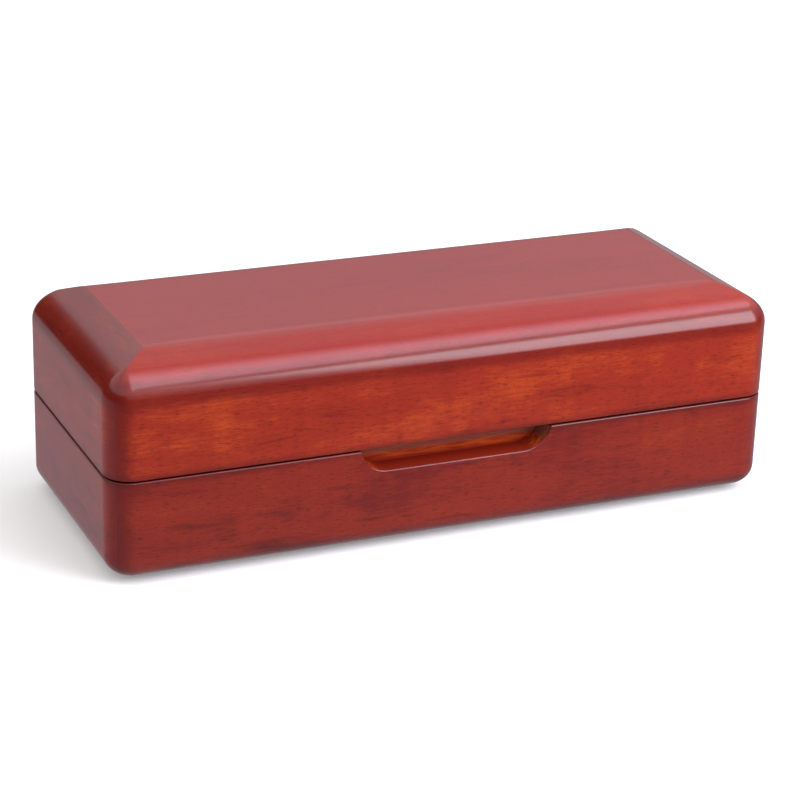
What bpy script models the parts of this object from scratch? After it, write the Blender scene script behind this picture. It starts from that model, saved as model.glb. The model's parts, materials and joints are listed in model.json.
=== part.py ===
"""Lacquered wooden keepsake box with a hinged lid, modelled as its separate pieces.

The origin is the middle of the underside. +X runs along the box, +Y to the hinged back
and +Z up. Lengths are metres. The lid is modelled shut.
"""
import math

import bmesh
import bpy
from mathutils import Matrix, Vector

MM = 0.001

# Driving dimensions of the closed box
LENGTH = 200.0 * MM
DEPTH = 80.3 * MM
HEIGHT = 63.0 * MM
SEAM_HEIGHT = 30.5 * MM
SEAM_GAP = 0.4 * MM
WALL = 10.0 * MM
CORNER_RADIUS = 7.7 * MM
ARRIS = 0.5 * MM

# Underside and its rounding
FELT_THICKNESS = 0.7 * MM
FELT_INSET = 9.0 * MM
FELT_CORNER = 4.0 * MM
UNDERSIDE = 1.0 * MM
BOTTOM_ROUND_IN = 8.0 * MM
BOTTOM_ROUND_UP = 6.5 * MM

# Lid border: a rounded shoulder, then a straight slope up to the flat field.
# The shoulder starts SHOULDER_DROP below the sharp corner that the wall and the slope
# would make, and ends SHOULDER_RUN past it along the slope.
BORDER = 13.5 * MM
SLOPE = math.radians(22.5)
SHOULDER_DROP = 5.5 * MM
SHOULDER_RUN = 9.0 * MM

# Boards let into the walls
LIP = 3.2 * MM
LID_BOARD = 6.5 * MM
GROOVE_DEPTH = 4.0 * MM
GROOVE_LOW = 3.2 * MM
GROOVE_HIGH = 6.5 * MM

# Finger scoop in the front rim
SCOOP_WIDTH = 57.5 * MM
SCOOP_DROP = 6.5 * MM
SCOOP_REACH = 7.0 * MM
SCOOP_END_RADIUS = 6.4 * MM
SCOOP_BACK_RADIUS = 1.6 * MM

# Linings
LINER = 1.2 * MM
LINER_SETBACK = 1.0 * MM
PAD = 3.0 * MM

# Hinges
HINGE_SPACING = 120.0 * MM
HINGE_LENGTH = 25.0 * MM
HINGE_IN_FROM_BACK = 1.5 * MM
STOP_HALF_ANGLE = math.radians(48.5)
LEAF_WIDTH = 7.5 * MM
LEAF_THICKNESS = 0.9 * MM
BARREL_RADIUS = 1.9 * MM
BORE_RADIUS = 1.1 * MM
PIN_RADIUS = 0.8 * MM
MIDDLE_KNUCKLE = 8.4 * MM
SCREW_SPACING = 16.6 * MM
SCREW_FROM_AXIS = 4.6 * MM
SCREW_LENGTH = 7.0 * MM
SCREW_HEAD_RADIUS = 1.5 * MM
SCREW_HEAD_HEIGHT = 0.8 * MM
SHANK_RADIUS = 0.7 * MM
SLOT_WIDTH = 0.4 * MM

# Clearances and smoothness
CLEAR = 0.3 * MM
OVERSHOOT = 3.0 * MM
MERGE = 0.001 * MM
CORNER_STEPS = 5
ARC_STEPS = 6
ROUND_SIDES = 20

# Worked out from the above
BASE_RIM = SEAM_HEIGHT - SEAM_GAP / 2
LID_RIM = SEAM_HEIGHT + SEAM_GAP / 2
AXIS = Vector((0.0, DEPTH / 2 - HINGE_IN_FROM_BACK, SEAM_HEIGHT))
LID_CEILING = HEIGHT - LID_BOARD
SIDES = {"front": 0, "right": 1, "back": 2, "left": 3}
HINGE_PLACES = {"left": -HINGE_SPACING / 2, "right": HINGE_SPACING / 2}


def clear_scene():
    """Remove whatever objects the scene starts with."""
    for obj in list(bpy.data.objects):
        bpy.data.objects.remove(obj, do_unlink=True)


def new_collection(name):
    """A collection linked to the scene."""
    collection = bpy.data.collections.new(name)
    bpy.context.scene.collection.children.link(collection)
    return collection


def new_material(name, colour, roughness, metallic=0.0):
    """A Principled material with one colour."""
    material = bpy.data.materials.new(name)
    material.use_nodes = True
    shader = material.node_tree.nodes["Principled BSDF"]
    shader.inputs["Base Color"].default_value = (*colour, 1.0)
    shader.inputs["Roughness"].default_value = roughness
    shader.inputs["Metallic"].default_value = metallic
    return material


clear_scene()
PARTS = new_collection("keepsake_box")
CUTTERS = new_collection("cutters")
WOOD = new_material("lacquered_wood", (0.30, 0.03, 0.02), 0.25)
VELVET = new_material("velvet", (0.10, 0.012, 0.02), 0.9)
FELT = new_material("felt", (0.02, 0.05, 0.03), 0.95)
BRASS = new_material("brass", (0.78, 0.57, 0.25), 0.3, 1.0)


def add_part(name, mesh, material, smooth_above=None):
    """Put a mesh in the scene as one piece of the box."""
    piece = bpy.data.objects.new(name, mesh)
    PARTS.objects.link(piece)
    if not mesh.materials:
        mesh.materials.append(material)
    if smooth_above is not None:
        mesh.shade_smooth()
        mesh.set_sharp_from_angle(angle=math.radians(smooth_above))
    return piece


def add_cutter(name, mesh):
    """Put a mesh in the scene as a hidden cutting shape."""
    cutter = bpy.data.objects.new(name, mesh)
    CUTTERS.objects.link(cutter)
    cutter.hide_render = True
    cutter.display_type = "WIRE"
    return cutter


def apply_boolean(target, cutter, operation="DIFFERENCE"):
    """Cut, join or intersect a piece with a cutting shape."""
    step = target.modifiers.new(f"{operation.lower()}_{cutter.name}", "BOOLEAN")
    step.operation = operation
    step.object = cutter
    step.solver = "EXACT"


def finish_mesh(bm, name):
    """Turn a bmesh into a mesh with its faces pointing out."""
    bmesh.ops.remove_doubles(bm, verts=bm.verts, dist=MERGE)
    bmesh.ops.recalc_face_normals(bm, faces=bm.faces)
    mesh = bpy.data.meshes.new(name)
    bm.to_mesh(mesh)
    bm.free()
    return mesh


def box_mesh(name, low, high):
    """A box between two corners."""
    bm = bmesh.new()
    low, high = Vector(low), Vector(high)
    place = Matrix.Translation((low + high) / 2) @ Matrix.Diagonal((*(high - low), 1.0))
    bmesh.ops.create_cube(bm, size=1.0, matrix=place)
    return finish_mesh(bm, name)


def cylinder_mesh(name, radius, length, centre, along="Z", sides=ROUND_SIDES, top_radius=None):
    """A cylinder or cone about its centre, lying along X or standing along Z."""
    bm = bmesh.new()
    turn = Matrix.Rotation(math.pi / 2, 4, "Y") if along == "X" else Matrix.Identity(4)
    bmesh.ops.create_cone(
        bm,
        cap_ends=True,
        segments=sides,
        radius1=radius,
        radius2=radius if top_radius is None else top_radius,
        depth=length,
        matrix=Matrix.Translation(centre) @ turn,
    )
    return finish_mesh(bm, name)


def plan_ring(inset, height, radius):
    """The box's plan outline moved inwards by inset, with its rounded corners."""
    turn = max(radius - inset, 0.0)
    reach_x = LENGTH / 2 - inset - turn
    reach_y = DEPTH / 2 - inset - turn
    ring = []
    for quarter, (side_x, side_y) in enumerate(((1, 1), (-1, 1), (-1, -1), (1, -1))):
        for step in range(CORNER_STEPS + 1):
            angle = math.pi / 2 * (quarter + step / CORNER_STEPS)
            x = side_x * reach_x + turn * math.cos(angle)
            y = side_y * reach_y + turn * math.sin(angle)
            ring.append(Vector((x, y, height)))
    return ring


def loft_mesh(name, sections, radius=CORNER_RADIUS):
    """A solid through plan outlines given as (inset, height), lowest first."""
    bm = bmesh.new()
    rings = []
    for inset, height in sections:
        rings.append([bm.verts.new(point) for point in plan_ring(inset, height, radius)])
    for lower, upper in zip(rings, rings[1:]):
        for i, corner in enumerate(lower):
            j = (i + 1) % len(lower)
            bm.faces.new((corner, lower[j], upper[j], upper[i]))
    bm.faces.new(reversed(rings[0]))
    bm.faces.new(rings[-1])
    return finish_mesh(bm, name)


def base_blank_mesh():
    """The base's outer form: rounded underneath, straight walls, softened rim."""
    sections = []
    for step in range(ARC_STEPS + 1):
        angle = math.pi / 2 * step / ARC_STEPS
        inset = BOTTOM_ROUND_IN * (1 - math.sin(angle))
        height = UNDERSIDE + BOTTOM_ROUND_UP * (1 - math.cos(angle))
        sections.append((inset, height))
    sections.append((0.0, BASE_RIM - ARRIS))
    sections.append((ARRIS, BASE_RIM))
    return loft_mesh("base_blank", sections)


def lid_blank_mesh():
    """The lid's outer form: straight walls, rounded shoulder, slope, flat field."""
    sections = [(ARRIS, LID_RIM), (0.0, LID_RIM + ARRIS)]
    corner = HEIGHT - BORDER * math.tan(SLOPE)
    for step in range(ARC_STEPS + 1):
        share = step / ARC_STEPS
        inset = SHOULDER_RUN * math.cos(SLOPE) * share**2
        drop = SHOULDER_DROP * (1 - share) ** 2
        rise = SHOULDER_RUN * math.sin(SLOPE) * share**2
        sections.append((inset, corner - drop + rise))
    sections.append((BORDER, HEIGHT))
    return loft_mesh("lid_blank", sections)


def mitred_bar(name, side, section):
    """A bar along one side with 45 degree ends, from its (inset, height) section."""
    quarter = SIDES[side]
    reach, half_length = (DEPTH / 2, LENGTH / 2) if quarter % 2 == 0 else (LENGTH / 2, DEPTH / 2)
    bm = bmesh.new()
    start = -half_length - OVERSHOOT
    outline = [bm.verts.new((start, inset, height)) for inset, height in section]
    face = bm.faces.new(outline)
    swept = bmesh.ops.extrude_face_region(bm, geom=[face])
    moved = [item for item in swept["geom"] if isinstance(item, bmesh.types.BMVert)]
    bmesh.ops.translate(bm, verts=moved, vec=(-2 * start, 0, 0))
    for end in (-1, 1):
        bmesh.ops.bisect_plane(
            bm,
            geom=bm.verts[:] + bm.edges[:] + bm.faces[:],
            plane_co=(end * (half_length - CLEAR * math.sqrt(0.5)), 0, 0),
            plane_no=(end, 1, 0),
            clear_outer=True,
        )
        open_edges = [edge for edge in bm.edges if edge.is_boundary]
        bmesh.ops.holes_fill(bm, edges=open_edges, sides=0)
    turn = Matrix.Rotation(quarter * math.pi / 2, 4, "Z")
    bmesh.ops.transform(bm, matrix=turn @ Matrix.Translation((0, -reach, 0)), verts=bm.verts)
    return add_cutter(name, finish_mesh(bm, name))


def base_wall_section():
    """Section of a base wall, with the groove that holds the bottom board."""
    groove = WALL - GROOVE_DEPTH
    return [
        (-OVERSHOOT, -OVERSHOOT),
        (WALL, -OVERSHOOT),
        (WALL, GROOVE_LOW),
        (groove, GROOVE_LOW),
        (groove, GROOVE_HIGH),
        (WALL, GROOVE_HIGH),
        (WALL, SEAM_HEIGHT + OVERSHOOT),
        (-OVERSHOOT, SEAM_HEIGHT + OVERSHOOT),
    ]


def lid_wall_section():
    """Section of a lid rail, with the lip that the top board rises against."""
    return [
        (-OVERSHOOT, SEAM_HEIGHT - OVERSHOOT),
        (WALL, SEAM_HEIGHT - OVERSHOOT),
        (WALL, HEIGHT - LIP),
        (BORDER, HEIGHT - LIP),
        (BORDER, HEIGHT + OVERSHOOT),
        (-OVERSHOOT, HEIGHT + OVERSHOOT),
    ]


def scoop_cutter():
    """The finger scoop: a pocket with rounded ends, open at the front and the rim."""
    bm = bmesh.new()
    front = -DEPTH / 2
    low = Vector((-SCOOP_WIDTH / 2, front - OVERSHOOT, BASE_RIM - SCOOP_DROP))
    high = Vector((SCOOP_WIDTH / 2, front + SCOOP_REACH, SEAM_HEIGHT + OVERSHOOT))
    place = Matrix.Translation((low + high) / 2) @ Matrix.Diagonal((*(high - low), 1.0))
    bmesh.ops.create_cube(bm, size=1.0, matrix=place)

    def at_floor(vert):
        return vert.co.z < low.z + MERGE

    def at_back(vert):
        return vert.co.y > high.y - MERGE

    ends = [e for e in bm.edges if all(map(at_floor, e.verts)) and e.verts[0].co.x == e.verts[1].co.x]
    bmesh.ops.bevel(bm, geom=ends, offset=SCOOP_END_RADIUS, segments=6, affect="EDGES", profile=0.5)
    rear = [e for e in bm.edges if all(map(at_back, e.verts)) and min(v.co.z for v in e.verts) < SEAM_HEIGHT]
    bmesh.ops.bevel(bm, geom=rear, offset=SCOOP_BACK_RADIUS, segments=2, affect="EDGES", profile=0.5)
    return add_cutter("scoop_cutter", finish_mesh(bm, "scoop_cutter"))


def stop_groove_cutter():
    """The V along the back seam whose faces meet when the lid is fully open."""
    bm = bmesh.new()
    rise = OVERSHOOT * math.tan(STOP_HALF_ANGLE)
    start = -LENGTH / 2 - OVERSHOOT
    corners = ((0.0, 0.0), (OVERSHOOT, -rise), (OVERSHOOT, rise))
    face = bm.faces.new([bm.verts.new((start, AXIS.y + y, AXIS.z + z)) for y, z in corners])
    swept = bmesh.ops.extrude_face_region(bm, geom=[face])
    moved = [item for item in swept["geom"] if isinstance(item, bmesh.types.BMVert)]
    bmesh.ops.translate(bm, verts=moved, vec=(-2 * start, 0, 0))
    return add_cutter("stop_groove_cutter", finish_mesh(bm, "stop_groove_cutter"))


def hinge_seat_cutters(side, x):
    """The leaf mortise, the hollow for the barrel and the screw holes of one hinge."""
    half = HINGE_LENGTH / 2 + CLEAR
    deep = SEAM_GAP / 2 + LEAF_THICKNESS + CLEAR
    low = (x - half, AXIS.y - LEAF_WIDTH - CLEAR, AXIS.z - deep)
    high = (x + half, AXIS.y, AXIS.z + deep)
    centre = (x, AXIS.y, AXIS.z)
    cutters = [
        add_cutter(f"mortise_{side}", box_mesh("mortise", low, high)),
        add_cutter(f"barrel_hollow_{side}", cylinder_mesh("hollow", BARREL_RADIUS + CLEAR, 2 * half, centre, "X")),
    ]
    bore = SHANK_RADIUS + CLEAR
    reach = SEAM_GAP / 2 + SCREW_LENGTH + 2 * CLEAR
    for number, offset in enumerate((-SCREW_SPACING / 2, SCREW_SPACING / 2), 1):
        spot = (x + offset, AXIS.y - SCREW_FROM_AXIS, AXIS.z)
        mesh = cylinder_mesh("pilot", bore, 2 * reach, spot, sides=12)
        cutters.append(add_cutter(f"pilot_{side}_{number}", mesh))
    return cutters


def countersink_cutter(name, x, upward):
    """The cone of one screw seat in a leaf: wide at the seam, narrow at the wood."""
    wide = SCREW_HEAD_RADIUS + CLEAR
    narrow = SHANK_RADIUS + CLEAR
    deep = LEAF_THICKNESS + 2 * CLEAR
    middle = SEAM_GAP / 2 + LEAF_THICKNESS / 2
    spot = Vector((x, AXIS.y - SCREW_FROM_AXIS, AXIS.z + upward * middle))
    radii = (wide, narrow) if upward > 0 else (narrow, wide)
    mesh = cylinder_mesh(name, radii[0], deep, spot, sides=16, top_radius=radii[1])
    return add_cutter(name, mesh)


def knuckle_spans(x, body):
    """The stretches along X of one leaf's knuckles, and of the gaps for the other's."""
    middle = MIDDLE_KNUCKLE / 2
    end = HINGE_LENGTH / 2
    if body == "lid":
        knuckles = [(x - middle, x + middle)]
        gaps = [(x - end - CLEAR, x - middle), (x + middle, x + end + CLEAR)]
    else:
        knuckles = [(x - end, x - middle - CLEAR), (x + middle + CLEAR, x + end)]
        gaps = [(x - middle - CLEAR, x + middle + CLEAR)]
    return knuckles, gaps


def add_leaf(side, x, body):
    """One hinge leaf: a plate with its knuckles, pin bore and countersunk holes."""
    upward = 1 if body == "lid" else -1
    faces = sorted((AXIS.z + upward * SEAM_GAP / 2, AXIS.z + upward * (SEAM_GAP / 2 + LEAF_THICKNESS)))
    joint = AXIS.y - (BARREL_RADIUS + BORE_RADIUS) / 2
    low = (x - HINGE_LENGTH / 2, AXIS.y - LEAF_WIDTH, faces[0])
    high = (x + HINGE_LENGTH / 2, joint, faces[1])
    name = f"hinge_{side}_{body}_leaf"
    leaf = add_part(name, box_mesh(name, low, high), BRASS)
    knuckles, gaps = knuckle_spans(x, body)
    for number, (start, end) in enumerate(gaps, 1):
        clear = BARREL_RADIUS + CLEAR
        corner = (start, AXIS.y - clear, AXIS.z - clear)
        opposite = (end, AXIS.y + clear, AXIS.z + clear)
        gap = add_cutter(f"{name}_gap_{number}", box_mesh("gap", corner, opposite))
        apply_boolean(leaf, gap)
    for number, (start, end) in enumerate(knuckles, 1):
        centre = ((start + end) / 2, AXIS.y, AXIS.z)
        mesh = cylinder_mesh("knuckle", BARREL_RADIUS, end - start, centre, "X")
        apply_boolean(leaf, add_cutter(f"{name}_knuckle_{number}", mesh), "UNION")
    bore = cylinder_mesh("bore", BORE_RADIUS, HINGE_LENGTH + OVERSHOOT, (x, AXIS.y, AXIS.z), "X")
    apply_boolean(leaf, add_cutter(f"{name}_bore", bore))
    for number, offset in enumerate((-SCREW_SPACING / 2, SCREW_SPACING / 2), 1):
        apply_boolean(leaf, countersink_cutter(f"{name}_seat_{number}", x + offset, upward))
    return leaf


def turned_mesh(name, profile):
    """A mesh with only the half profile of a turned piece, as (radius, height) points."""
    bm = bmesh.new()
    verts = [bm.verts.new((radius, 0, height)) for radius, height in profile]
    for first, second in zip(verts, verts[1:]):
        bm.edges.new((first, second))
    mesh = bpy.data.meshes.new(name)
    bm.to_mesh(mesh)
    bm.free()
    return mesh


def turn_about_z(piece, steps):
    """Spin a half profile into a closed round piece."""
    spin = piece.modifiers.new("turn", "SCREW")
    spin.axis = "Z"
    spin.steps = steps
    spin.render_steps = steps
    spin.use_merge_vertices = True
    spin.merge_threshold = MERGE


def add_pin(side, x):
    """A hinge pin with softened ends, lying along the hinge axis."""
    half = HINGE_LENGTH / 2 - CLEAR
    soft = PIN_RADIUS / 2
    profile = [(0, half), (PIN_RADIUS - soft, half), (PIN_RADIUS, half - soft)]
    profile += [(radius, -height) for radius, height in reversed(profile)]
    name = f"hinge_{side}_pin"
    pin = add_part(name, turned_mesh(name, profile), BRASS)
    turn_about_z(pin, 12)
    pin.location = (x, AXIS.y, AXIS.z)
    pin.rotation_euler = (0, math.pi / 2, 0)
    return pin


def add_screw(side, x, body, number):
    """A slotted countersunk wood screw, its head towards the seam."""
    tip = 2 * SHANK_RADIUS
    profile = [
        (0, 0),
        (SCREW_HEAD_RADIUS, 0),
        (SHANK_RADIUS, -SCREW_HEAD_HEIGHT),
        (SHANK_RADIUS, tip - SCREW_LENGTH),
        (0, -SCREW_LENGTH),
    ]
    name = f"hinge_{side}_{body}_screw_{number}"
    screw = add_part(name, turned_mesh(name, profile), BRASS)
    turn_about_z(screw, 12)
    upward = 1 if body == "lid" else -1
    place = Vector((x, AXIS.y - SCREW_FROM_AXIS, AXIS.z + upward * (SEAM_GAP / 2 + CLEAR / 3)))
    screw.location = place
    screw.rotation_euler = (math.pi if body == "lid" else 0, 0, 0)
    slot = Vector((SLOT_WIDTH / 2, 2 * SCREW_HEAD_RADIUS, SLOT_WIDTH))
    cutter = add_cutter(f"{name}_slot", box_mesh("slot", place - slot, place + slot))
    apply_boolean(screw, cutter)
    return screw


def add_walls(prefix, suffix, blank, section):
    """The four mitred walls of the base or the lid, cut from one rounded form."""
    walls = {}
    for side in SIDES:
        name = f"{prefix}_{side}_{suffix}"
        walls[side] = add_part(name, blank.copy(), WOOD, 25)
        apply_boolean(walls[side], mitred_bar(f"{name}_shape", side, section), "INTERSECT")
    return walls


def add_liners(prefix, low, high):
    """Four velvet-covered cards standing inside the walls, between two heights."""
    outer = Vector((LENGTH / 2 - WALL - CLEAR, DEPTH / 2 - WALL - CLEAR))
    inner = outer - Vector((LINER, LINER))
    between = inner.y - CLEAR
    spans = {
        "front": ((-outer.x, -outer.y, low), (outer.x, -inner.y, high)),
        "back": ((-outer.x, inner.y, low), (outer.x, outer.y, high)),
        "left": ((-outer.x, -between, low), (-inner.x, between, high)),
        "right": ((inner.x, -between, low), (outer.x, between, high)),
    }
    return [
        add_part(f"{prefix}_liner_{side}", box_mesh(f"{prefix}_liner_{side}", *corners), VELVET)
        for side, corners in spans.items()
    ]


def add_pad(name, low, high):
    """A velvet-covered pad that fills the plan between the liners."""
    half_x = LENGTH / 2 - WALL - LINER - 2 * CLEAR
    half_y = DEPTH / 2 - WALL - LINER - 2 * CLEAR
    mesh = box_mesh(name, (-half_x, -half_y, low), (half_x, half_y, high))
    return add_part(name, mesh, VELVET)


def add_bottom_board():
    """The bottom board, its tongue in the walls' groove and its field flush below."""
    tongue = WALL - GROOVE_DEPTH + CLEAR
    sections = [
        (WALL + CLEAR, UNDERSIDE),
        (WALL + CLEAR, GROOVE_LOW + CLEAR),
        (tongue, GROOVE_LOW + CLEAR),
        (tongue, GROOVE_HIGH - CLEAR),
    ]
    return add_part("base_bottom_board", loft_mesh("base_bottom_board", sections, 0.0), WOOD)


def add_top_board():
    """The lid's top board, its field flush between the lips of the rails."""
    sections = [
        (WALL + CLEAR, LID_CEILING),
        (WALL + CLEAR, HEIGHT - LIP - CLEAR),
        (BORDER + CLEAR, HEIGHT - LIP - CLEAR),
        (BORDER + CLEAR, HEIGHT),
    ]
    return add_part("lid_top_board", loft_mesh("lid_top_board", sections, 0.0), WOOD)


def add_felt():
    """The thin felt under the base, which the box rests on."""
    sections = [(FELT_INSET, 0.0), (FELT_INSET, FELT_THICKNESS)]
    mesh = loft_mesh("base_felt", sections, FELT_INSET + FELT_CORNER)
    return add_part("base_felt", mesh, FELT)


def build_base():
    """Everything that stays put, apart from the hinges."""
    walls = add_walls("base", "panel", base_blank_mesh(), base_wall_section())
    apply_boolean(walls["front"], scoop_cutter())
    add_bottom_board()
    add_felt()
    floor = GROOVE_HIGH
    add_liners("base", floor, BASE_RIM - LINER_SETBACK)
    add_pad("base_floor_pad", floor, floor + PAD)
    return walls["back"]


def build_lid():
    """Everything that turns with the lid, apart from the hinges."""
    walls = add_walls("lid", "rail", lid_blank_mesh(), lid_wall_section())
    ceiling = LID_CEILING - CLEAR
    moving = list(walls.values())
    moving.append(add_top_board())
    moving += add_liners("lid", LID_RIM + LINER_SETBACK, ceiling)
    moving.append(add_pad("lid_pad", ceiling - PAD, ceiling))
    return walls["back"], moving


def build_hinges(base_back, lid_back):
    """Both hinges, with the seats that they need in the wood."""
    groove = stop_groove_cutter()
    moving = []
    for wall in (base_back, lid_back):
        apply_boolean(wall, groove)
    for side, x in HINGE_PLACES.items():
        for cutter in hinge_seat_cutters(side, x):
            apply_boolean(base_back, cutter)
            apply_boolean(lid_back, cutter)
        add_leaf(side, x, "base")
        add_pin(side, x)
        moving.append(add_leaf(side, x, "lid"))
        for number, offset in enumerate((-SCREW_SPACING / 2, SCREW_SPACING / 2), 1):
            add_screw(side, x + offset, "base", number)
            moving.append(add_screw(side, x + offset, "lid", number))
    return moving


def hang_lid(pieces):
    """Parent the lid's pieces to an empty on the hinge axis, leaving them in place."""
    pivot = bpy.data.objects.new("lid_pivot", None)
    PARTS.objects.link(pivot)
    pivot.location = AXIS
    for piece in pieces:
        piece.parent = pivot
        piece.matrix_parent_inverse = Matrix.Translation(AXIS).inverted()


def main():
    """Build the whole box."""
    base_back = build_base()
    lid_back, lid_pieces = build_lid()
    lid_pieces += build_hinges(base_back, lid_back)
    hang_lid(lid_pieces)


main()
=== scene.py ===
"""Looks for a lacquered wooden keepsake box with a hinged lid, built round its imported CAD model.

Lengths are metres, in the CAD model's frame: +X along the box, +Y to the hinged back, +Z up.
"""
import json
import math

import bmesh
import bpy
from mathutils import Matrix, Vector


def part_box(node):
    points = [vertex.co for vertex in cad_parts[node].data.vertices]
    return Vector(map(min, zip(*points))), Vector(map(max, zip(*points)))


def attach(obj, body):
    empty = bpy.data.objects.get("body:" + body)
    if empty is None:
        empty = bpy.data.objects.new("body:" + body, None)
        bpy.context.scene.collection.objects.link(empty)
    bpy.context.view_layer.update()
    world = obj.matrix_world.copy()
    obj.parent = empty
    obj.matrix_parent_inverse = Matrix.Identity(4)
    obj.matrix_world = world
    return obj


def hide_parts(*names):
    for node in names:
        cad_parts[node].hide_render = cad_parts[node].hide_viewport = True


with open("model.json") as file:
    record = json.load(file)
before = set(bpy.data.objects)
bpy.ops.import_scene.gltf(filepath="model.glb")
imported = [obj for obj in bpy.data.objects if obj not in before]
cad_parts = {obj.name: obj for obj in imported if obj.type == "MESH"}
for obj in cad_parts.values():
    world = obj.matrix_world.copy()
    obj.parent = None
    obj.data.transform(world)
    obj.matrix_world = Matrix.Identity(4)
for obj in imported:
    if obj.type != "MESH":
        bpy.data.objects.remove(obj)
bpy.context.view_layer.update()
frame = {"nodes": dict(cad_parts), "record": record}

MM = 0.001

# Read from the frame
FRONT_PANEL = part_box("base_front_panel")
FRONT_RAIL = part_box("lid_front_rail")
TOP_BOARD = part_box("lid_top_board")
BOTTOM_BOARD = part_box("base_bottom_board")
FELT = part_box("base_felt")
LENGTH = 2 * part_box("base_right_panel")[1].x
DEPTH = -2 * FRONT_PANEL[0].y
HEIGHT = TOP_BOARD[1].z
WALL = FRONT_PANEL[1].y - FRONT_PANEL[0].y
BORDER = FRONT_RAIL[1].y - FRONT_RAIL[0].y
UNDERSIDE = FRONT_PANEL[0].z
BASE_RIM = FRONT_PANEL[1].z
LID_RIM = FRONT_RAIL[0].z
AXIS = Vector(frame["record"]["behaviour"]["joints"][0]["pos_m"])
SEAM = AXIS.z
HINGE_PLACES = {side: sum(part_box(f"hinge_{side}_pin"), Vector()).x / 2 for side in ("left", "right")}
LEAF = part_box("hinge_left_base_leaf")

# Rounding of the wood
CORNER_RADIUS = 7.7 * MM
ARRIS = 0.5 * MM
BOTTOM_ROUND_IN = 8.0 * MM
BOTTOM_ROUND_UP = 6.5 * MM
SLOPE = math.radians(22.5)
SHOULDER_DROP = 5.5 * MM
SHOULDER_RUN = 9.0 * MM
LONG_CREASE = 6.0 * MM
END_CREASE = 1.6 * MM
CREASE_BLEND = 12.0 * MM

# Joints between boards
MITRE_GAP = 0.015 * MM
BOARD_GAP = 0.03 * MM
CLEAR = 0.3 * MM
LIP = 3.2 * MM
GROOVE_DEPTH = 4.0 * MM
GROOVE_LOW = 3.2 * MM
GROOVE_HIGH = 6.5 * MM

# Finger scoop
SCOOP_WIDTH = 57.5 * MM
SCOOP_DROP = 6.5 * MM
SCOOP_REACH = 7.0 * MM
SCOOP_END_RUN = 8.0 * MM
SCOOP_END_STEPS = 16

# Hinges and their seats
STOP_HALF_ANGLE = math.radians(48.5)
PILOT_RADIUS = 1.0 * MM
LEAF_THICKNESS = 0.9 * MM
LEAF_ARRIS = 0.08 * MM
BARREL_RADIUS = LEAF[1].y - AXIS.y

# How far a cutting shape reaches past the wood
OVERSHOOT = 3.0 * MM

# Linings and felt
LINER_ARRIS = 0.5 * MM
FELT_ARRIS = 0.25 * MM
FELT_CORNER = 4.0 * MM

# Pads, simulated at an enlarged size
PAD_CELL = 3.0 * MM
PAD_RISE = 0.7 * MM
PAD_CAP = 0.95
PAD_ENLARGED = 10.0
PAD_FRAMES = 20

# Points nearer than this are one, and the steps of the round stretches
MERGE = 0.002 * MM
CORNER_STEPS = 8
EASE_STEPS = 6
CREASE_STEPS = 8
ARC_STEPS = 14
SHOULDER_STEPS = 30
ARRIS_STEPS = 4
FELT_CORNER_STEPS = 10
FELT_ARRIS_STEPS = 3

# Degrees between faces above which an edge is rounded, or shaded as sharp
ROUNDED_ABOVE = 28
SHARP_ABOVE = 32
LID_SHARP_ABOVE = 16
CLOTH_SHARP_ABOVE = 60
PAD_SHARP_ABOVE = 75
LEAF_ROUNDED_ABOVE = 35

# Quarter turns from the front
SIDES = {"front": 0, "right": 1, "back": 2, "left": 3}

# Colours of the wood, from the darkest stain to the barest, then the grey-brown of the lid's painted
# shadow in the scoop
BURNT = (0.055, 0.005, 0.004)
GARNET = (0.100, 0.004, 0.003)
WINE = (0.125, 0.007, 0.006)
RED = (0.225, 0.016, 0.006)
CHERRY = (0.270, 0.012, 0.006)
AMBER = (0.345, 0.041, 0.006)
HONEY = (0.420, 0.055, 0.008)
LID_SHADOW_BROWN = (0.170, 0.052, 0.036)

# How warm the stain is, from 0 to 1, and how much dark stain lies over it
FRONT_WARMTH = 0.44
END_WARMTH = 0.50
BASE_WARMTH_LESS = 0.12
LID_WARMTH_MORE = 0.06
TOP_BOARD_WARMTH = 0.34
BOTTOM_BOARD_WARMTH = 0.30
LID_STAIN = 0.05
BASE_FRONT_STAIN = 0.32
BASE_END_STAIN = 0.10

# Scales of the marks in the wood: along the grain, across it and up
CLOUDS = (26, 90, 90)
FLAME = (120, 14, 14)
SMEARS = (48, 330, 330)
STREAKS = (150, 1300, 1300)
FLECKS = (420, 2700, 2700)
SPECKLE = (1300, 2600, 2600)
RIPPLE = (55, 130, 130)

# Colours of the other materials
VELVET_RED = (0.10, 0.012, 0.02)
VELVET_SHEEN = (0.85, 0.30, 0.36, 1.0)
FELT_GREEN = (0.02, 0.05, 0.03)
BRASS_YELLOW = (0.62, 0.43, 0.19)
SCREW_YELLOW = (0.46, 0.31, 0.13)

# Camera: where it looks from, and how far the box's middle lies off the view's middle
CAMERA_YAW = math.radians(24.13)
CAMERA_PITCH = math.radians(21.34)
CAMERA_ROLL = math.radians(1.75)
CAMERA_DISTANCE = 710 * MM
CAMERA_ASIDE = 0.14 * MM
CAMERA_ABOVE = 4.22 * MM
CAMERA_LENS = 110.0

# Lights
COOL = (0.96, 0.97, 1.07)
VIOLET = (0.90, 0.92, 1.15)
SURROUND = 0.95
OVERHEAD_PLACE = (0.348, -0.323, 0.80)
OVERHEAD_TURN = math.radians(42.5)
OVERHEAD_SIZE = (0.85, 0.34)
OVERHEAD_RADIANCE = 3.5
SOFTBOX_AZIMUTH = math.radians(142)
SOFTBOX_ELEVATION = math.radians(29)
SOFTBOX_DISTANCE = 0.75
SOFTBOX_SIZE = (0.42, 0.46)
SOFTBOX_RADIANCE = 5.4

# Floor
FLOOR_RADIUS = 8.0
FLOOR_WHITE = 0.92
FLOOR_GLOW = 0.14

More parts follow.
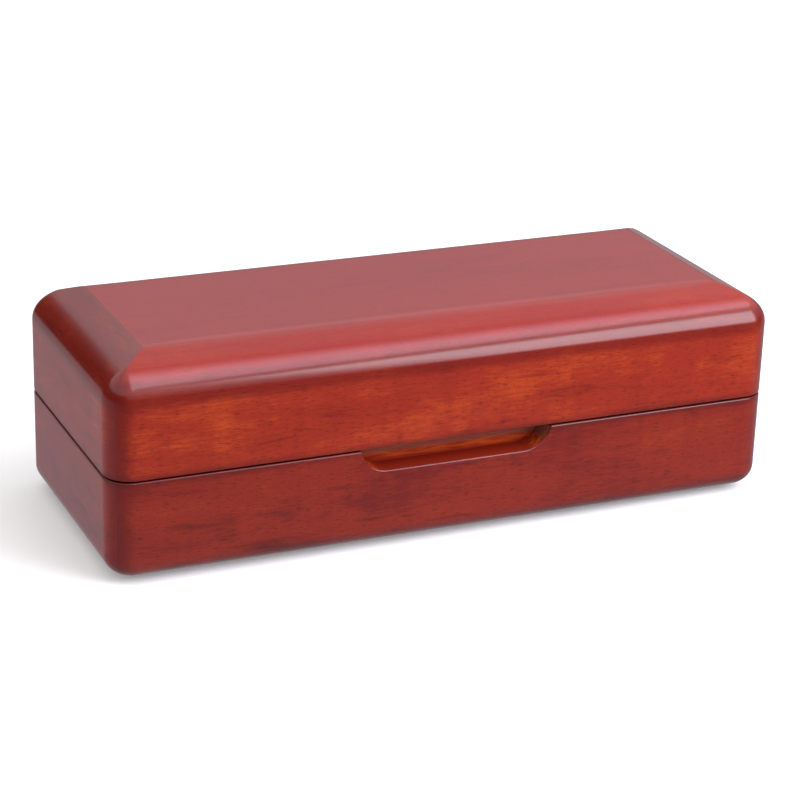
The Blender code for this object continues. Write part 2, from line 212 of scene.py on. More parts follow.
# What only the lacquer sees: radiances, the span that a glow is graded over, and its stops
GROUND_RADIANCE = 0.47
GROUND_SPAN = (-0.14, -0.045)
GROUND_STOPS = ((0.0, 0.22), (1.0, 1.0))
DOME_RADIUS = 6.0
DOME_RADIANCE = 2.0
DOME_STOPS = ((0.025, 0.13), (0.27, 0.285), (0.36, 0.31), (0.50, 0.62), (0.68, 0.66), (1.0, 0.60))
CARD_CORNERS = ((-0.10, -0.845, 0.80), (0.973, 0.14, 0.80), (-0.10, 0.14, 0.80))
CARD_RADIANCE = 4.9
CARD_SPAN = (0.14, -0.12)
CARD_STOPS = ((0.0, 0.0), (1.0, 1.0))
FLAG_RADIUS = 0.80
FLAG_STEPS = 24
FLAG_RADIANCE = 0.02
LEFT_FLAG = (-16, -150, 0.42)
FRONT_FLAG = (100, 208, 0.19)


# ---------------------------------------------------------------- mesh helpers


def finish_mesh(bm, name):
    """Turn a bmesh into a mesh with merged points and its faces pointing out."""
    bmesh.ops.remove_doubles(bm, verts=bm.verts, dist=MERGE)
    bmesh.ops.dissolve_degenerate(bm, edges=bm.edges, dist=MERGE)
    bmesh.ops.recalc_face_normals(bm, faces=bm.faces)
    mesh = bpy.data.meshes.new(name)
    bm.to_mesh(mesh)
    bm.free()
    return mesh


def new_object(name, mesh):
    """Put a mesh in the scene."""
    piece = bpy.data.objects.new(name, mesh)
    bpy.context.scene.collection.objects.link(piece)
    return piece


def add_piece(node, mesh, material, body, sharp_above=SHARP_ABOVE):
    """Add the finished form of a CAD node, riding on the node's body."""
    piece = new_object(f"{node}_finished", mesh)
    mesh.materials.clear()
    mesh.materials.append(material)
    mesh.shade_smooth()
    mesh.set_sharp_from_angle(angle=math.radians(sharp_above))
    weighted = piece.modifiers.new("weighted_normals", "WEIGHTED_NORMAL")
    weighted.keep_sharp = True
    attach(piece, body)
    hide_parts(node)
    return piece


def box_mesh(name, low, high):
    """A box between two corners."""
    bm = bmesh.new()
    low, high = Vector(low), Vector(high)
    place = Matrix.Translation((low + high) / 2) @ Matrix.Diagonal((*(high - low), 1.0))
    bmesh.ops.create_cube(bm, size=1.0, matrix=place)
    return finish_mesh(bm, name)


def cylinder_mesh(name, radius, length, centre, along="Z", sides=48):
    """A cylinder about its centre, lying along X or standing along Z."""
    bm = bmesh.new()
    turn = Matrix.Rotation(math.pi / 2, 4, "Y") if along == "X" else Matrix.Identity(4)
    bmesh.ops.create_cone(
        bm,
        cap_ends=True,
        segments=sides,
        radius1=radius,
        radius2=radius,
        depth=length,
        matrix=Matrix.Translation(centre) @ turn,
    )
    return finish_mesh(bm, name)


def cut(mesh, cutters):
    """The mesh with every cutting mesh taken away from it."""
    target = new_object("cut_target", mesh)
    tools = [new_object(f"cutter_{number}", tool) for number, tool in enumerate(cutters)]
    for tool in tools:
        step = target.modifiers.new(tool.name, "BOOLEAN")
        step.operation = "DIFFERENCE"
        step.object = tool
        step.solver = "EXACT"
    bpy.context.view_layer.update()
    evaluated = target.evaluated_get(bpy.context.evaluated_depsgraph_get())
    result = bpy.data.meshes.new_from_object(evaluated)
    for obj in [target, *tools]:
        bpy.data.objects.remove(obj, do_unlink=True)
    return result


def cleaned(mesh):
    """The mesh with merged points and its faces pointing out."""
    bm = bmesh.new()
    bm.from_mesh(mesh)
    return finish_mesh(bm, mesh.name)


def soften(mesh, chosen, width, segments=ARRIS_STEPS):
    """Round the mesh's sharp edges for which chosen(edge) is true."""
    bm = bmesh.new()
    bm.from_mesh(mesh)
    bmesh.ops.remove_doubles(bm, verts=bm.verts, dist=MERGE)
    limit = math.radians(ROUNDED_ABOVE)
    sharp = [e for e in bm.edges if e.is_manifold and e.calc_face_angle() > limit]
    edges = [e for e in sharp if chosen(e)]
    bmesh.ops.bevel(bm, geom=edges, offset=width, segments=segments, affect="EDGES", profile=0.5)
    return finish_mesh(bm, mesh.name)


def quarter_arc(centre, radius, start, steps=ARRIS_STEPS):
    """Points of a quarter circle in a section, from the start angle in degrees, clockwise."""
    points = []
    for step in range(steps + 1):
        angle = math.radians(start - 90 * step / steps)
        points.append((centre[0] + radius * math.cos(angle), centre[1] + radius * math.sin(angle)))
    return points


# ---------------------------------------------------------------- walls and boards


def side_reach(side):
    """Half the depth across a side, and half its length."""
    if side in ("front", "back"):
        return DEPTH / 2, LENGTH / 2
    return LENGTH / 2, DEPTH / 2


def crown(inset, crease):
    """Height of the lid's top: slope outside the crease, flat inside, eased over its width."""
    past = inset - BORDER
    half = crease / 2
    if past <= -half:
        return HEIGHT + past * math.tan(SLOPE)
    if past >= half:
        return HEIGHT
    return HEIGHT - math.tan(SLOPE) * (half - past) ** 2 / (2 * crease)


def side_points(side, inset, height, gap, eased):
    """One side's points at an inset and a height, from mitre to mitre."""
    reach, half = side_reach(side)
    turn = max(CORNER_RADIUS - inset, 0.0)
    stop = half - inset - turn
    spots = []
    for step in range(CORNER_STEPS + 1):
        angle = math.radians(225 + 45 * step / CORNER_STEPS)
        spots.append((-stop + turn * math.cos(angle), inset + turn + turn * math.sin(angle)))
    spots += [(-stop + CREASE_BLEND * step / EASE_STEPS, inset) for step in range(1, EASE_STEPS + 1)]
    spots += [(-along, across) for along, across in reversed(spots)]
    place = Matrix.Rotation(SIDES[side] * math.pi / 2, 4, "Z") @ Matrix.Translation((0, -reach, 0))
    own, other = (LONG_CREASE, END_CREASE) if side in ("front", "back") else (END_CREASE, LONG_CREASE)
    points = []
    for along, across in spots:
        limit = half - across - gap
        along = max(-limit, min(limit, along))
        level = height
        if eased:
            share = min(1.0, max(0.0, (half - abs(along) - across) / CREASE_BLEND))
            share = 0.5 + 0.5 * share * share * (3 - 2 * share)
            level = crown(inset, other + (own - other) * share)
        points.append(place @ Vector((along, across, level)))
    return points


def wall_mesh(name, side, section):
    """A mitred wall: its closed section of (inset, height, eased) swept along one side."""
    bm = bmesh.new()
    rows = []
    for inset, height, eased in section:
        points = side_points(side, inset, height, MITRE_GAP, eased)
        rows.append([bm.verts.new(point) for point in points])
    for row, following in zip(rows, rows[1:] + rows[:1]):
        for i in range(len(row) - 1):
            bm.faces.new((row[i], row[i + 1], following[i + 1], following[i]))
    bm.faces.new([row[0] for row in rows])
    bm.faces.new([row[-1] for row in reversed(rows)])
    return finish_mesh(bm, name)


def board_mesh(name, sections):
    """A board through closed plan outlines of (inset, height, eased), lowest first."""
    bm = bmesh.new()
    rings = []
    for inset, height, eased in sections:
        ring = []
        for side in SIDES:
            ring += side_points(side, inset, height, 0.0, eased)[:-1]
        rings.append([bm.verts.new(point) for point in ring])
    for lower, upper in zip(rings, rings[1:]):
        for i, corner in enumerate(lower):
            j = (i + 1) % len(lower)
            bm.faces.new((corner, lower[j], upper[j], upper[i]))
    bm.faces.new(reversed(rings[0]))
    bm.faces.new(rings[-1])
    return finish_mesh(bm, name)


def plain(points):
    """Section points whose height stands as given."""
    return [(inset, height, False) for inset, height in points]


def base_section(rounded_rim):
    """Section of a base wall, clockwise from the inside of its underside."""
    section = [(WALL - BOARD_GAP, UNDERSIDE)]
    for step in range(ARC_STEPS + 1):
        angle = math.pi / 2 * step / ARC_STEPS
        inset = BOTTOM_ROUND_IN * (1 - math.sin(angle))
        section.append((inset, UNDERSIDE + BOTTOM_ROUND_UP * (1 - math.cos(angle))))
    if rounded_rim:
        section += quarter_arc((ARRIS, BASE_RIM - ARRIS), ARRIS, 180)
        section += quarter_arc((WALL - ARRIS, BASE_RIM - ARRIS), ARRIS, 90)
    else:
        section += [(0.0, BASE_RIM), (WALL, BASE_RIM)]
    groove = WALL - GROOVE_DEPTH
    section += [(WALL, GROOVE_HIGH), (groove, GROOVE_HIGH), (groove, GROOVE_LOW)]
    section.append((WALL - BOARD_GAP, GROOVE_LOW))
    return plain(section)


def lid_section(rounded_rim):
    """Section of a lid rail, clockwise from its rim: wall, shoulder, slope, lip."""
    section = []
    if rounded_rim:
        section += quarter_arc((WALL - ARRIS, LID_RIM + ARRIS), ARRIS, 360)
        section += quarter_arc((ARRIS, LID_RIM + ARRIS), ARRIS, 270)
    else:
        section += [(WALL, LID_RIM), (0.0, LID_RIM)]
    corner = HEIGHT - BORDER * math.tan(SLOPE)
    for step in range(SHOULDER_STEPS):
        share = step / SHOULDER_STEPS
        inset = SHOULDER_RUN * math.cos(SLOPE) * share**2
        drop = SHOULDER_DROP * (1 - share) ** 2
        section.append((inset, corner - drop + SHOULDER_RUN * math.sin(SLOPE) * share**2))
    section = plain(section)
    start = SHOULDER_RUN * math.cos(SLOPE)
    section.append((start, HEIGHT, True))
    section += [(inset, HEIGHT, True) for inset in crease_insets(-1)]
    section += plain([(BORDER, HEIGHT - LIP), (WALL, HEIGHT - LIP)])
    return section


def crease_insets(direction):
    """Insets across one half of the eased crease, outermost first."""
    offsets = [LONG_CREASE / 2 * (step / CREASE_STEPS) ** 1.5 for step in range(CREASE_STEPS + 1)]
    if direction < 0:
        return [BORDER - offset for offset in reversed(offsets)]
    return [BORDER + BOARD_GAP + offset for offset in offsets]


def scoop_outline():
    """The scoop seen from the front: a flat floor that sweeps up to the rim at both ends."""
    floor = BASE_RIM - SCOOP_DROP
    radius = (SCOOP_END_RUN**2 + SCOOP_DROP**2) / (2 * SCOOP_DROP)
    swing = math.asin(SCOOP_END_RUN / radius)
    start = SCOOP_WIDTH / 2 - SCOOP_END_RUN
    right = []
    for step in range(SCOOP_END_STEPS + 1):
        angle = swing * step / SCOOP_END_STEPS
        right.append((start + radius * math.sin(angle), floor + radius * (1 - math.cos(angle))))
    right.append((SCOOP_WIDTH / 2, SEAM + OVERSHOOT))
    left = [(-x, z) for x, z in reversed(right)]
    return left + right


def scoop_cutter():
    """The finger scoop: a pocket with swept ends, open at the front and the rim."""
    bm = bmesh.new()
    back = -DEPTH / 2 + SCOOP_REACH
    near = [bm.verts.new((x, -DEPTH / 2 - OVERSHOOT, z)) for x, z in scoop_outline()]
    far = [bm.verts.new((x, back, z)) for x, z in scoop_outline()]
    bm.faces.new(near)
    bm.faces.new(list(reversed(far)))
    for number, vert in enumerate(near):
        after = (number + 1) % len(near)
        bm.faces.new((vert, far[number], far[after], near[after]))
    return finish_mesh(bm, "scoop_cutter")


def near_scoop(spot):
    """Whether a place on the front wall lies within the scoop's width, above the wall's round foot."""
    return abs(spot.x) < SCOOP_WIDTH / 2 + MERGE and spot.z > UNDERSIDE + BOTTOM_ROUND_UP


def base_front_mesh():
    """The base's front wall with its finger scoop and softened edges."""
    blank = wall_mesh("base_front_panel_finished", "front", base_section(False))
    mesh = cut(blank, [scoop_cutter()])
    front = -DEPTH / 2

    def chosen(edge):
        middle = (edge.verts[0].co + edge.verts[1].co) / 2
        at_mitre = LENGTH / 2 - abs(middle.x) - (middle.y - front) < 4 * MITRE_GAP
        at_front = all(v.co.y < front + MERGE for v in edge.verts)
        at_rim = all(v.co.z > BASE_RIM - MERGE for v in edge.verts)
        return (at_rim or (at_front and near_scoop(middle))) and not at_mitre

    return soften(mesh, chosen, ARRIS)


def stop_groove_cutter():
    """The V along the back seam whose faces meet when the lid is fully open."""
    bm = bmesh.new()
    rise = OVERSHOOT * math.tan(STOP_HALF_ANGLE)
    start = -LENGTH / 2 - OVERSHOOT
    corners = ((0.0, 0.0), (OVERSHOOT, -rise), (OVERSHOOT, rise))
    face = bm.faces.new([bm.verts.new((start, AXIS.y + y, AXIS.z + z)) for y, z in corners])
    swept = bmesh.ops.extrude_face_region(bm, geom=[face])
    moved = [item for item in swept["geom"] if isinstance(item, bmesh.types.BMVert)]
    bmesh.ops.translate(bm, verts=moved, vec=(-2 * start, 0, 0))
    return finish_mesh(bm, "stop_groove_cutter")


def hinge_seat_cutters():
    """The leaf mortises, barrel hollows and screw holes of both hinges."""
    cutters = [stop_groove_cutter()]
    for side, x in HINGE_PLACES.items():
        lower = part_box(f"hinge_{side}_base_leaf")
        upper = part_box(f"hinge_{side}_lid_leaf")
        half = (lower[1].x - lower[0].x) / 2 + CLEAR
        deep = plate_depth() + CLEAR
        low = (x - half, lower[0].y - CLEAR, AXIS.z - deep)
        high = (x + half, AXIS.y, AXIS.z + deep)
        cutters.append(box_mesh("mortise", low, high))
        cutters.append(cylinder_mesh("hollow", BARREL_RADIUS + CLEAR, 2 * half, (x, AXIS.y, AXIS.z), "X"))
        for number in (1, 2):
            low_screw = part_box(f"hinge_{side}_base_screw_{number}")
            high_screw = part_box(f"hinge_{side}_lid_screw_{number}")
            middle = (low_screw[0] + high_screw[1]) / 2
            reach = high_screw[1].z - low_screw[0].z + 2 * CLEAR
            cutters.append(cylinder_mesh("pilot", PILOT_RADIUS, reach, middle, sides=24))
    return cutters


def plate_depth():
    """How far a leaf's outer face lies from the hinge axis."""
    return (LID_RIM - BASE_RIM) / 2 + LEAF_THICKNESS


def back_wall_mesh(name, section):
    """A back wall with the stop groove and the hinge seats cut into it."""
    return cleaned(cut(wall_mesh(name, "back", section), hinge_seat_cutters()))


# ---------------------------------------------------------------- materials


class Shader:
    """A material's node tree, with short ways to add what the materials share."""

    def __init__(self, name):
        self.material = bpy.data.materials.new(name)
        self.material.use_nodes = True
        self.tree = self.material.node_tree
        self.bsdf = self.tree.nodes["Principled BSDF"]
        self.where = self.add("ShaderNodeTexCoord").outputs["Object"]

    def add(self, kind, **inputs):
        """A node with some inputs set, or linked where the value is another node's output."""
        node = self.tree.nodes.new(kind)
        self.feed(node, **inputs)
        return node

    def feed(self, node, **inputs):
        """Set or link a node's inputs, named with _ for spaces or as in_0, in_1 by number."""
        for key, value in inputs.items():
            number = key.removeprefix("in_")
            socket = node.inputs[int(number)] if number.isdigit() else node.inputs[key.replace("_", " ")]
            if isinstance(value, bpy.types.NodeSocket):
                self.tree.links.new(value, socket)
            else:
                socket.default_value = value

    def maths(self, operation, first, second=0.0, clamp=False):
        """A Math node's result."""
        node = self.add("ShaderNodeMath")
        node.operation = operation
        node.use_clamp = clamp
        self.feed(node, in_0=first, in_1=second)
        return node.outputs[0]

    def stretched(self, scales, turned=False, shift=(0.0, 0.0, 0.0)):
        """Object coordinates scaled per axis, with the grain turned from X to Y if asked."""
        along, across, up = scales
        size = (across, along, up) if turned else (along, across, up)
        node = self.add("ShaderNodeMapping", Vector=self.where, Location=shift, Scale=size)
        return node.outputs[0]

    def noise(self, place, detail=3.0, roughness=0.5, distortion=0.0):
        """Noise from 0 to 1 at a scaled place."""
        node = self.add(
            "ShaderNodeTexNoise",
            Vector=place,
            Scale=1.0,
            Detail=detail,
            Roughness=roughness,
            Distortion=distortion,
        )
        return node.outputs["Fac"]

    def spread(self, value, low, high, to_low=0.0, to_high=1.0, smooth=True):
        """The value carried from one range to another, clamped."""
        node = self.add("ShaderNodeMapRange")
        node.interpolation_type = "SMOOTHSTEP" if smooth else "LINEAR"
        self.feed(node, in_0=value, in_1=low, in_2=high, in_3=to_low, in_4=to_high)
        return node.outputs[0]

    def blend(self, share, first, second):
        """A mix of two colours."""
        node = self.tree.nodes.new("ShaderNodeMix")
        node.data_type = "RGBA"
        colours = [s for s in node.inputs if s.type == "RGBA"]
        for socket, value in zip([node.inputs[0], *colours], [share, first, second]):
            if isinstance(value, bpy.types.NodeSocket):
                self.tree.links.new(value, socket)
            else:
                socket.default_value = (*value, 1.0) if socket.type == "RGBA" else value
        return next(s for s in node.outputs if s.type == "RGBA")

    def bump(self, height, distance, strength, over=None):
        """A normal bumped by a height in 0 to 1 over a real distance, on top of another bump if given."""
        node = self.add("ShaderNodeBump", Height=height, Distance=distance, Strength=strength)
        if over is not None:
            self.feed(node, Normal=over)
        return node.outputs[0]


def wood_tint(shader, turned, warmth, clouds, flame, streaks, on_top, x, from_end):
    """The stain's colour before any marks: warmer and paler where it is thin."""
    warm = shader.spread(clouds, 0.30, 0.70, warmth - 0.20, warmth + 0.20)
    if not turned:
        ends = shader.spread(from_end, 60 * MM, 15 * MM, 0.0, 0.15)
        leftward = shader.spread(x, 0.3 * LENGTH, -0.3 * LENGTH, 0.2, 1.0)
        drift = shader.spread(x, -LENGTH / 2, LENGTH / 2, -0.04, 0.10, smooth=False)
        warm = shader.maths("ADD", warm, shader.maths("MULTIPLY", ends, leftward))
        warm = shader.maths("ADD", warm, drift)
    warm = shader.maths("ADD", warm, shader.spread(flame, 0.3, 0.7, -0.06, 0.06))
    warm = shader.maths("ADD", warm, shader.spread(streaks, 0.3, 0.7, -0.10, 0.10), clamp=True)
    colour = shader.blend(shader.spread(warm, 0.0, 0.5), WINE, RED)
    colour = shader.blend(shader.spread(warm, 0.5, 1.0), colour, AMBER)
    if turned:
        return shader.blend(shader.maths("MULTIPLY", on_top, 0.50), colour, GARNET)
    return shader.blend(shader.maths("MULTIPLY", on_top, 0.70), colour, CHERRY)


def wood_material(name, turned, warmth, seed, stain=LID_STAIN):
    """Red-brown stained close-grained wood under clear lacquer, its grain along X or Y."""
    shader = Shader(name)
    shift = (seed * 3.17, seed * 1.31, seed * 2.23)

    def marks(size, *shape):
        """Noise stretched along the grain."""
        return shader.noise(shader.stretched(size, turned, shift), *shape)

    clouds = marks(CLOUDS, 4, 0.55, 0.5)
    flame = marks(FLAME, 2, 0.5, 0.5)
    smears = marks(SMEARS, 3, 0.55, 0.4)
    streaks = marks(STREAKS, 3, 0.7, 0.2)
    flecks = marks(FLECKS, 2, 0.6)
    speckle = marks(SPECKLE, 2, 0.6)
    ripple = marks(RIPPLE, 2, 0.5)

    x, y, z = shader.add("ShaderNodeSeparateXYZ", Vector=shader.where).outputs
    from_end = shader.maths("SUBTRACT", LENGTH / 2, shader.maths("ABSOLUTE", x))
    from_front = shader.maths("SUBTRACT", DEPTH / 2, shader.maths("ABSOLUTE", y))
    from_corner = shader.maths("MAXIMUM", from_end, from_front)
    from_seam = shader.maths("ABSOLUTE", shader.maths("SUBTRACT", z, SEAM))
    shoulder_foot = HEIGHT - BORDER * math.tan(SLOPE) - SHOULDER_DROP
    on_top = shader.spread(z, shoulder_foot + 4.2 * MM, shoulder_foot + SHOULDER_DROP + 1.6 * MM)
    above = shader.spread(z, shoulder_foot - 2.4 * MM, shoulder_foot + 0.2 * MM)

    colour = wood_tint(shader, turned, warmth, clouds, flame, streaks, on_top, x, from_end)

    # Dark marks in the grain, fainter on the top, and the stain over them
    buried = shader.maths("SUBTRACT", 1.0, shader.maths("MULTIPLY", on_top, 0.75))
    smeared = shader.maths("MULTIPLY", shader.spread(smears, 0.56, 0.76, 0.0, 0.55), buried)
    flecked = shader.maths("MULTIPLY", shader.spread(flecks, 0.47, 0.30, 0.0, 0.60), buried)
    colour = shader.blend(smeared, colour, BURNT)
    colour = shader.blend(flecked, colour, BURNT)
    colour = shader.blend(shader.spread(speckle, 0.45, 0.30, 0.0, 0.30), colour, WINE)
    colour = shader.blend(stain, colour, BURNT)

    # Darker at the corners and on the shoulder where stain gathers, and painted shade at the seam and
    # towards the foot
    edge = shader.spread(from_corner, 7.5 * MM, 2.5 * MM, 0.0, 0.75)
    shoulder = shader.maths("MULTIPLY", shader.maths("SUBTRACT", above, on_top, clamp=True), 0.60)
    # Painted shade: darker either side of the seam between lid and base, and on the round foot towards
    # the bottom, in the darkest colour
    seam = shader.spread(from_seam, 2.6 * MM, 0.3 * MM, 0.0, 0.55)
    foot = shader.spread(z, 8.0 * MM, 1.0 * MM, 0.0, 0.80)
    uneven = shader.spread(clouds, 0.25, 0.75, 1.25, 0.7)
    dark = shader.maths("MULTIPLY", shader.maths("MAXIMUM", seam, foot), uneven, clamp=True)
    colour = shader.blend(edge, colour, GARNET)
    colour = shader.blend(shoulder, colour, GARNET)
    colour = shader.blend(dark, colour, BURNT)

    skin = shader.bump(ripple, 0.05 * MM, 0.5)
    shader.feed(
        shader.bsdf,
        Base_Color=colour,
        Normal=shader.bump(streaks, 0.02 * MM, 0.5, skin),
        Coat_Normal=skin,
        Roughness=shader.spread(streaks, 0.3, 0.7, 0.42, 0.56),
        Coat_Weight=1.0,
        Coat_Roughness=0.19,
        Coat_IOR=1.45,
        Specular_IOR_Level=0.0,
    )
    return shader.material


def scoop_material():
    """The scoop's inside: the same wood, thinly stained and hardly polished, with painted shade on its
    floor and a painted shadow of the lid across the top of its back wall.
    """
    shader = Shader("lacquered_scoop")
    height = shader.add("ShaderNodeSeparateXYZ", Vector=shader.where).outputs[2]
    floor = BASE_RIM - SCOOP_DROP
    streaks = shader.noise(shader.stretched((110, 900, 900)), 3, 0.6, 0.3)
    clouds = shader.noise(shader.stretched((60, 200, 200)), 3, 0.5)
    bare = shader.blend(shader.spread(streaks, 0.35, 0.65), RED, HONEY)
    bare = shader.blend(shader.spread(clouds, 0.55, 0.75, 0.0, 0.5), bare, RED)
    # Painted shade: the floor under the lid is kept a darker red, and the wall above shows the thinly
    # stained wood
    above_floor_shade = shader.spread(height, floor + 0.1 * MM, floor + 1.0 * MM)
    # Painted shadow of the lid: the top of the back wall turns grey-brown
    lid_shadow = shader.spread(height, floor + 1.9 * MM, floor + 3.4 * MM, 0.0, 0.85)
    colour = shader.blend(above_floor_shade, RED, bare)
    colour = shader.blend(lid_shadow, colour, LID_SHADOW_BROWN)
    shader.feed(
        shader.bsdf,
        Base_Color=colour,
        Normal=shader.bump(streaks, 0.02 * MM, 0.6),
        Roughness=shader.spread(streaks, 0.3, 0.7, 0.5, 0.65),
        Coat_Weight=0.12,
        Coat_Roughness=0.5,
        Specular_IOR_Level=0.0,
    )
    return shader.material


def velvet_material(name, colour, seed):
    """Short-pile velvet: dark in the pile, with a sheen and brushed patches."""
    shader = Shader(name)
    shift = (seed * 1.7, seed * 0.9, seed * 2.1)
    brushed = shader.noise(shader.stretched((30, 42, 42), False, shift), 3, 0.5, 0.3)
    pile = shader.noise(shader.stretched((5200, 5200, 5200), False, shift), 2, 0.6)
    deep = tuple(channel * 0.60 for channel in colour)
    lit = tuple(min(1.0, channel * 1.25) for channel in colour)
    mixed = shader.blend(shader.spread(brushed, 0.20, 0.80, 0.25, 0.85), deep, lit)
    mixed = shader.blend(shader.spread(pile, 0.35, 0.65, 0.0, 0.45), mixed, deep)
    height = shader.maths("ADD", pile, shader.maths("MULTIPLY", brushed, 0.2))
    shader.feed(
        shader.bsdf,
        Base_Color=mixed,
        Normal=shader.bump(height, 0.12 * MM, 0.8),
        Roughness=shader.spread(brushed, 0.3, 0.7, 0.88, 1.0),
        Sheen_Weight=0.60,
        Sheen_Roughness=0.35,
        Sheen_Tint=VELVET_SHEEN,
        Specular_IOR_Level=0.1,
    )
    return shader.material


def felt_material(name, colour):
    """Pressed felt: matted fibres lying every way, with paler specks."""
    shader = Shader(name)
    matted = shader.noise(shader.stretched((420, 420, 420)), 4, 0.7, 1.6)
    fibres = shader.noise(shader.stretched((2600, 2600, 2600)), 3, 0.7, 2.4)
    pale = tuple(min(1.0, channel * 2.2) for channel in colour)
    deep = tuple(channel * 0.5 for channel in colour)
    mixed = shader.blend(shader.spread(matted, 0.35, 0.65), deep, colour)
    mixed = shader.blend(shader.spread(fibres, 0.50, 0.72, 0.0, 0.7), mixed, pale)
    shader.feed(
        shader.bsdf,
        Base_Color=mixed,
        Normal=shader.bump(fibres, 0.15 * MM, 0.7),
        Roughness=shader.spread(matted, 0.3, 0.7, 0.9, 1.0),
        Sheen_Weight=0.3,
        Sheen_Roughness=0.6,
    )
    return shader.material


def brass_material(name, bright):
    """Polished brass with fine rolling lines, small handling marks and faint tarnish."""
    shader = Shader(name)
    lines = shader.noise(shader.stretched((260, 7000, 7000)), 3, 0.6)
    cloudy = shader.noise(shader.stretched((300, 300, 300)), 4, 0.6, 0.5)
    marks = shader.noise(shader.stretched((1500, 900, 900)), 2, 0.7, 1.5)
    dull = tuple(channel * 0.62 for channel in bright)
    mixed = shader.blend(shader.spread(cloudy, 0.45, 0.80, 0.0, 0.35), bright, dull)
    mixed = shader.blend(shader.spread(lines, 0.60, 0.35, 0.0, 0.2), mixed, dull)
    tarnished = shader.spread(cloudy, 0.3, 0.7, 0.26, 0.36)
    handled = shader.spread(marks, 0.6, 0.8, 0.0, 0.10)
    shader.feed(
        shader.bsdf,
        Base_Color=mixed,
        Metallic=1.0,
        Normal=shader.bump(lines, 0.003 * MM, 0.3),
        Roughness=shader.maths("ADD", tarnished, handled),
    )
    return shader.material


# ---------------------------------------------------------------- the pieces

VELVET = velvet_material("velvet", VELVET_RED, 1)
BRASS = brass_material("brass", BRASS_YELLOW)
SCREW_BRASS = brass_material("brass_screws", SCREW_YELLOW)
FELT_CLOTH = felt_material("felt", FELT_GREEN)


def build_walls():
    """The base's walls and the lid's rails, each its own mitred piece."""
    for number, side in enumerate(SIDES):
        turned = side in ("left", "right")
        warmth = END_WARMTH if turned else FRONT_WARMTH
        stain = BASE_END_STAIN if turned else BASE_FRONT_STAIN
        node = f"base_{side}_panel"
        wood = wood_material(f"lacquered_{node}", turned, warmth - BASE_WARMTH_LESS, number + 1, stain)
        if side == "front":
            mesh = base_front_mesh()
        elif side == "back":
            mesh = back_wall_mesh(node, base_section(True))
        else:
            mesh = wall_mesh(node, side, base_section(True))
        panel = add_piece(node, mesh, wood, "base")
        if side == "front":
            line_scoop(panel)
        node = f"lid_{side}_rail"
        wood = wood_material(f"lacquered_{node}", turned, warmth + LID_WARMTH_MORE, number + 11)
        if side == "back":
            mesh = back_wall_mesh(node, lid_section(True))
        else:
            mesh = wall_mesh(node, side, lid_section(True))
        add_piece(node, mesh, wood, "lid", LID_SHARP_ABOVE)


def line_scoop(panel):
    """Give the faces inside the finger scoop their own finish."""
    panel.data.materials.append(scoop_material())
    front = -DEPTH / 2
    for face in panel.data.polygons:
        spot = face.center
        behind_arris = front + ARRIS < spot.y < front + SCOOP_REACH + MERGE
        if behind_arris and near_scoop(spot) and spot.z < BASE_RIM - MERGE:
            face.material_index = 1


def build_boards():
    """The lid's top board and the base's bottom board."""
    ceiling = TOP_BOARD[0].z
    under_lip = HEIGHT - LIP - CLEAR
    seat = WALL + CLEAR
    sections = plain([(seat, ceiling), (seat, under_lip), (BORDER + BOARD_GAP, under_lip)])
    sections += [(inset, HEIGHT, True) for inset in crease_insets(1)]
    wood = wood_material("lacquered_lid_top_board", False, TOP_BOARD_WARMTH, 21)
    mesh = board_mesh("lid_top_board", sections)
    add_piece("lid_top_board", mesh, wood, "lid", LID_SHARP_ABOVE)
    tongue = LENGTH / 2 - BOTTOM_BOARD[1].x
    field = WALL + BOARD_GAP
    low, step, high = BOTTOM_BOARD[0].z, GROOVE_LOW + CLEAR, BOTTOM_BOARD[1].z
    sections = plain([(field, low), (field, step), (tongue, step), (tongue, high)])
    wood = wood_material("lacquered_base_bottom_board", False, BOTTOM_BOARD_WARMTH, 22)
    mesh = board_mesh("base_bottom_board", sections)
    add_piece("base_bottom_board", mesh, wood, "base")


def build_hardware():
    """The hinges: the CAD pieces with softened edges and a brass finish."""
    for name, node in frame["nodes"].items():
        if not name.startswith("hinge_"):
            continue
        weld = node.modifiers.new("weld", "WELD")
        weld.merge_threshold = MERGE
        round_off = node.modifiers.new("softened_edges", "BEVEL")
        round_off.width = LEAF_ARRIS
        round_off.segments = 2
        round_off.angle_limit = math.radians(LEAF_ROUNDED_ABOVE)
        node.data.materials.clear()
        node.data.materials.append(SCREW_BRASS if "screw" in name else BRASS)


def every_edge(edge):
    """Choose an edge whatever it is."""
    return True


def is_upright(edge):
    """Whether an edge stands straight up."""
    low, high = (vert.co for vert in edge.verts)
    return low.x == high.x and low.y == high.y


def build_linings():
    """The velvet-covered cards, with rounded wrapped edges."""
    for body in ("base", "lid"):
        for side in SIDES:
            node = f"{body}_liner_{side}"
            mesh = soften(box_mesh(node, *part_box(node)), every_edge, LINER_ARRIS)
            add_piece(node, mesh, VELVET, body, CLOTH_SHARP_ABOVE)


def build_felt():
    """The felt under the base."""
    node = "base_felt"
    mesh = soften(box_mesh(node, *FELT), is_upright, FELT_CORNER, FELT_CORNER_STEPS)
    mesh = soften(mesh, every_edge, FELT_ARRIS, FELT_ARRIS_STEPS)
    add_piece(node, mesh, FELT_CLOTH, "base", CLOTH_SHARP_ABOVE)


